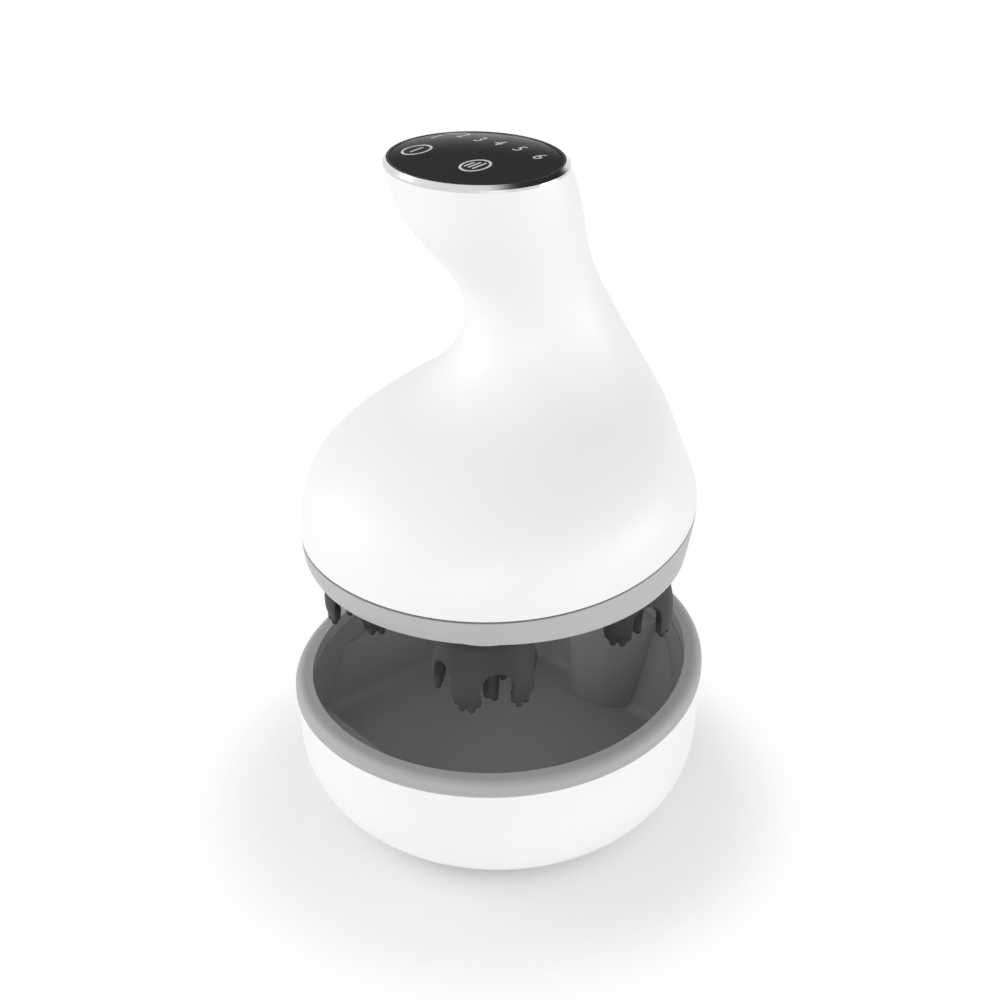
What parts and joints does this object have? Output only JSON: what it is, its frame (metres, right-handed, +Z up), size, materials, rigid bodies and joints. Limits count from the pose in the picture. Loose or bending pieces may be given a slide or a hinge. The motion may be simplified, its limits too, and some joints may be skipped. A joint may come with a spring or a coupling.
{
  "type": "electric scalp massager",
  "caption": "Cordless scalp massager with turning soft claw heads under a leaning gourd-shaped body, lifted above its round charging dock.",
  "frame": {"origin": "centre of the dock's footprint, on the surface it stands on", "axes": "+Z up, -Y the front, where the panel leans and the dock's rim is lowest, +X to the right of the object seen from its front"},
  "size_m": [0.108, 0.108, 0.1776],
  "materials": {
    "white_shell": "satin moulded white",
    "grey_chassis": "satin light grey",
    "grey_rim": "satin light grey",
    "liner_dark": "satin dark grey",
    "claw_silicone": "matt charcoal silicone",
    "panel_black": "glossy black cover glass",
    "chrome": "polished",
    "dark_rubber": "matt",
    "circuit_board": "solder mask",
    "led_green": "clear lens",
    "cell_case": "sleeved cell",
    "inner_plastic": "plain",
    "gear_plastic": "natural acetal",
    "steel": "turned",
    "bronze": "sintered",
    "gold_contact": "plated"
  },
  "bodies": {
    "dock": {"dock_shell": "white_shell", "dock_rim": "grey_rim", "dock_liner": "liner_dark", "dock_pins": "gold_contact", "dock_base_plate": "white_shell", "dock_feet": "dark_rubber", "dock_screws": "steel", "dock_board": "circuit_board", "dock_inlet": "steel"},
    "massager": {"main_housing": "white_shell", "lower_chassis": "grey_chassis", "housing_seal": "dark_rubber", "panel_bezel": "chrome", "panel_glass": "panel_black", "panel_gasket": "dark_rubber", "touch_board": "circuit_board", "indicator_leds": "led_green", "battery_cell": "cell_case", "battery_holder": "inner_plastic", "gear_cover": "inner_plastic", "cover_screws": "steel", "main_board": "circuit_board", "gear_motor": "steel", "motor_screws": "steel", "spindle_bushes": "bronze", "spindle_seals": "dark_rubber", "charge_pads": "gold_contact", "chassis_screws": "steel"},
    "drive": {"drive_shaft": "steel", "sun_gear": "gear_plastic"},
    "head_front_right": {"soft_head_front_right": "claw_silicone", "head_hub_front_right": "inner_plastic", "spindle_front_right": "steel", "head_gear_front_right": "gear_plastic"},
    "head_back_right": {"soft_head_back_right": "claw_silicone", "head_hub_back_right": "inner_plastic", "spindle_back_right": "steel", "head_gear_back_right": "gear_plastic"},
    "head_back_left": {"soft_head_back_left": "claw_silicone", "head_hub_back_left": "inner_plastic", "spindle_back_left": "steel", "head_gear_back_left": "gear_plastic"},
    "head_front_left": {"soft_head_front_left": "claw_silicone", "head_hub_front_left": "inner_plastic", "spindle_front_left": "steel", "head_gear_front_left": "gear_plastic"}
  },
  "joints": [
    {"name": "lift_off", "type": "slide", "parent": "dock", "child": "massager", "axis": [0, 0, 1], "range_m": [-0.036, 0.06]},
    {"name": "drive_spin", "type": "hinge", "parent": "massager", "child": "drive", "pos_m": [0, 0, 0.086], "axis": [0, 0, 1], "continuous": true},
    {"name": "head_spin_front_right", "type": "hinge", "parent": "massager", "child": "head_front_right", "pos_m": [0.02334, -0.02334, 0.066], "axis": [0, 0, 1], "continuous": true},
    {"name": "head_spin_back_right", "type": "hinge", "parent": "massager", "child": "head_back_right", "pos_m": [0.02334, 0.02334, 0.066], "axis": [0, 0, 1], "continuous": true},
    {"name": "head_spin_back_left", "type": "hinge", "parent": "massager", "child": "head_back_left", "pos_m": [-0.02334, 0.02334, 0.066], "axis": [0, 0, 1], "continuous": true},
    {"name": "head_spin_front_left", "type": "hinge", "parent": "massager", "child": "head_front_left", "pos_m": [-0.02334, -0.02334, 0.066], "axis": [0, 0, 1], "continuous": true}
  ],
  "couplings": [
    {"joint": "head_spin_front_right", "follows": "drive_spin", "ratio": -1.75},
    {"joint": "head_spin_back_right", "follows": "drive_spin", "ratio": -1.75},
    {"joint": "head_spin_back_left", "follows": "drive_spin", "ratio": -1.75},
    {"joint": "head_spin_front_left", "follows": "drive_spin", "ratio": -1.75}
  ]
}
